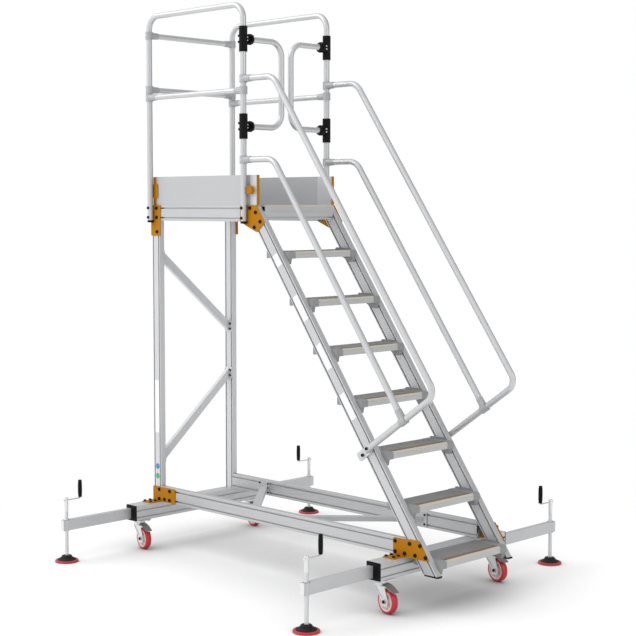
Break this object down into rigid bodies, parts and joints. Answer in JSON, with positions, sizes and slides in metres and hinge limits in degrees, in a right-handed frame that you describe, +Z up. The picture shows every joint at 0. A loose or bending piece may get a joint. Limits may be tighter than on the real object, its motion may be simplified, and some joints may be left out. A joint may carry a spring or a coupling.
{
  "type": "mobile platform ladder",
  "caption": "Aluminium mobile work platform: open stair with handrails up to a railed deck with swing gates, on braked casters with telescopic outriggers and screw jacks.",
  "frame": {"origin": "on the floor under the middle of the overall box", "axes": "+X towards the stair's foot, +Y to the right-hand side of someone who climbs, +Z up"},
  "size_m": [2.2454, 2.02, 3.1045],
  "materials": {
    "extrusion": "satin",
    "beam": "satin",
    "arm": "satin",
    "tube": "satin",
    "cast": "matt",
    "tread": "ribbed",
    "cap_grey": "matt",
    "gusset": "powder coated",
    "hinge_black": "matt",
    "cap_black": "matt",
    "rubber": "matt",
    "grip": "matt",
    "toe": "satin",
    "zinc": "bright zinc",
    "screw": "machined thread",
    "pad": "matt",
    "wheel": "satin"
  },
  "bodies": {
    "frame": {"cross_beams": "beam", "beam_end_caps": "cap_black", "caster_plates": "zinc", "long_beams": "extrusion", "base_braces": "extrusion", "base_gussets": "gusset", "legs": "extrusion", "rear_braces": "extrusion", "side_beams": "extrusion", "deck": "tread", "deck_bearers": "extrusion", "toe_boards": "toe", "toe_board_channels": "extrusion", "toe_board_clips": "gusset", "top_gussets": "gusset", "stiles": "extrusion", "stile_feet": "rubber", "steps": "tread", "step_end_caps": "cap_grey", "guard_hoop_left": "tube", "guard_hoop_right": "tube", "cross_rails": "tube", "rail_clamps": "cast", "handrail_upper_left": "tube", "handrail_upper_right": "tube", "handrails_lower": "tube"},
    "gate_left": {"gate_left": "tube", "gate_hinges_left": "hinge_black"},
    "gate_right": {"gate_right": "tube", "gate_hinges_right": "hinge_black"},
    "outrigger_rear_left": {"outrigger_arm_rear_left": "arm"},
    "jack_rear_left": {"jack_screw_rear_left": "screw", "jack_grip_rear_left": "grip", "jack_pad_rear_left": "pad"},
    "caster_rear_left": {"caster_fork_rear_left": "zinc"},
    "wheel_rear_left": {"wheel_rear_left": "wheel"},
    "outrigger_rear_right": {"outrigger_arm_rear_right": "arm"},
    "jack_rear_right": {"jack_screw_rear_right": "screw", "jack_grip_rear_right": "grip", "jack_pad_rear_right": "pad"},
    "caster_rear_right": {"caster_fork_rear_right": "zinc"},
    "wheel_rear_right": {"wheel_rear_right": "wheel"},
    "outrigger_front_left": {"outrigger_arm_front_left": "arm"},
    "jack_front_left": {"jack_screw_front_left": "screw", "jack_grip_front_left": "grip", "jack_pad_front_left": "pad"},
    "caster_front_left": {"caster_fork_front_left": "zinc"},
    "wheel_front_left": {"wheel_front_left": "wheel"},
    "outrigger_front_right": {"outrigger_arm_front_right": "arm"},
    "jack_front_right": {"jack_screw_front_right": "screw", "jack_grip_front_right": "grip", "jack_pad_front_right": "pad"},
    "caster_front_right": {"caster_fork_front_right": "zinc"},
    "wheel_front_right": {"wheel_front_right": "wheel"}
  },
  "joints": [
    {"name": "gate_left_swing", "type": "hinge", "parent": "frame", "child": "gate_left", "pos_m": [-0.25384, -0.3215, 2.6655], "axis": [0, 0, 1], "range_deg": [0, 80]},
    {"name": "gate_right_swing", "type": "hinge", "parent": "frame", "child": "gate_right", "pos_m": [-0.25384, 0.3215, 2.6655], "axis": [0, 0, -1], "range_deg": [0, 80]},
    {"name": "outrigger_rear_left_slide", "type": "slide", "parent": "frame", "child": "outrigger_rear_left", "axis": [0, 1, 0], "range_m": [0, 0.31]},
    {"name": "jack_rear_left_lift", "type": "slide", "parent": "outrigger_rear_left", "child": "jack_rear_left", "axis": [0, 0, 1], "range_m": [-0.042, 0.13]},
    {"name": "caster_rear_left_swivel", "type": "hinge", "parent": "frame", "child": "caster_rear_left", "pos_m": [-1.04124, -0.437, 0.15], "axis": [0, 0, 1], "continuous": true},
    {"name": "wheel_rear_left_spin", "type": "hinge", "parent": "caster_rear_left", "child": "wheel_rear_left", "pos_m": [-0.992, -0.44568, 0.0625], "axis": [0.1736, 0.9848, 0], "continuous": true},
    {"name": "outrigger_rear_right_slide", "type": "slide", "parent": "frame", "child": "outrigger_rear_right", "axis": [0, -1, 0], "range_m": [0, 0.31]},
    {"name": "jack_rear_right_lift", "type": "slide", "parent": "outrigger_rear_right", "child": "jack_rear_right", "axis": [0, 0, 1], "range_m": [-0.042, 0.13]},
    {"name": "caster_rear_right_swivel", "type": "hinge", "parent": "frame", "child": "caster_rear_right", "pos_m": [-1.04124, 0.437, 0.15], "axis": [0, 0, 1], "continuous": true},
    {"name": "wheel_rear_right_spin", "type": "hinge", "parent": "caster_rear_right", "child": "wheel_rear_right", "pos_m": [-0.992, 0.42832, 0.0625], "axis": [0.1736, 0.9848, 0], "continuous": true},
    {"name": "outrigger_front_left_slide", "type": "slide", "parent": "frame", "child": "outrigger_front_left", "axis": [0, 1, 0], "range_m": [0, 0.31]},
    {"name": "jack_front_left_lift", "type": "slide", "parent": "outrigger_front_left", "child": "jack_front_left", "axis": [0, 0, 1], "range_m": [-0.042, 0.13]},
    {"name": "caster_front_left_swivel", "type": "hinge", "parent": "frame", "child": "caster_front_left", "pos_m": [0.87874, -0.437, 0.15], "axis": [0, 0, 1], "continuous": true},
    {"name": "wheel_front_left_spin", "type": "hinge", "parent": "caster_front_left", "child": "wheel_front_left", "pos_m": [0.92798, -0.44568, 0.0625], "axis": [0.1736, 0.9848, 0], "continuous": true},
    {"name": "outrigger_front_right_slide", "type": "slide", "parent": "frame", "child": "outrigger_front_right", "axis": [0, -1, 0], "range_m": [0, 0.31]},
    {"name": "jack_front_right_lift", "type": "slide", "parent": "outrigger_front_right", "child": "jack_front_right", "axis": [0, 0, 1], "range_m": [-0.042, 0.13]},
    {"name": "caster_front_right_swivel", "type": "hinge", "parent": "frame", "child": "caster_front_right", "pos_m": [0.87874, 0.437, 0.15], "axis": [0, 0, 1], "continuous": true},
    {"name": "wheel_front_right_spin", "type": "hinge", "parent": "caster_front_right", "child": "wheel_front_right", "pos_m": [0.92798, 0.42832, 0.0625], "axis": [0.1736, 0.9848, 0], "continuous": true}
  ]
}
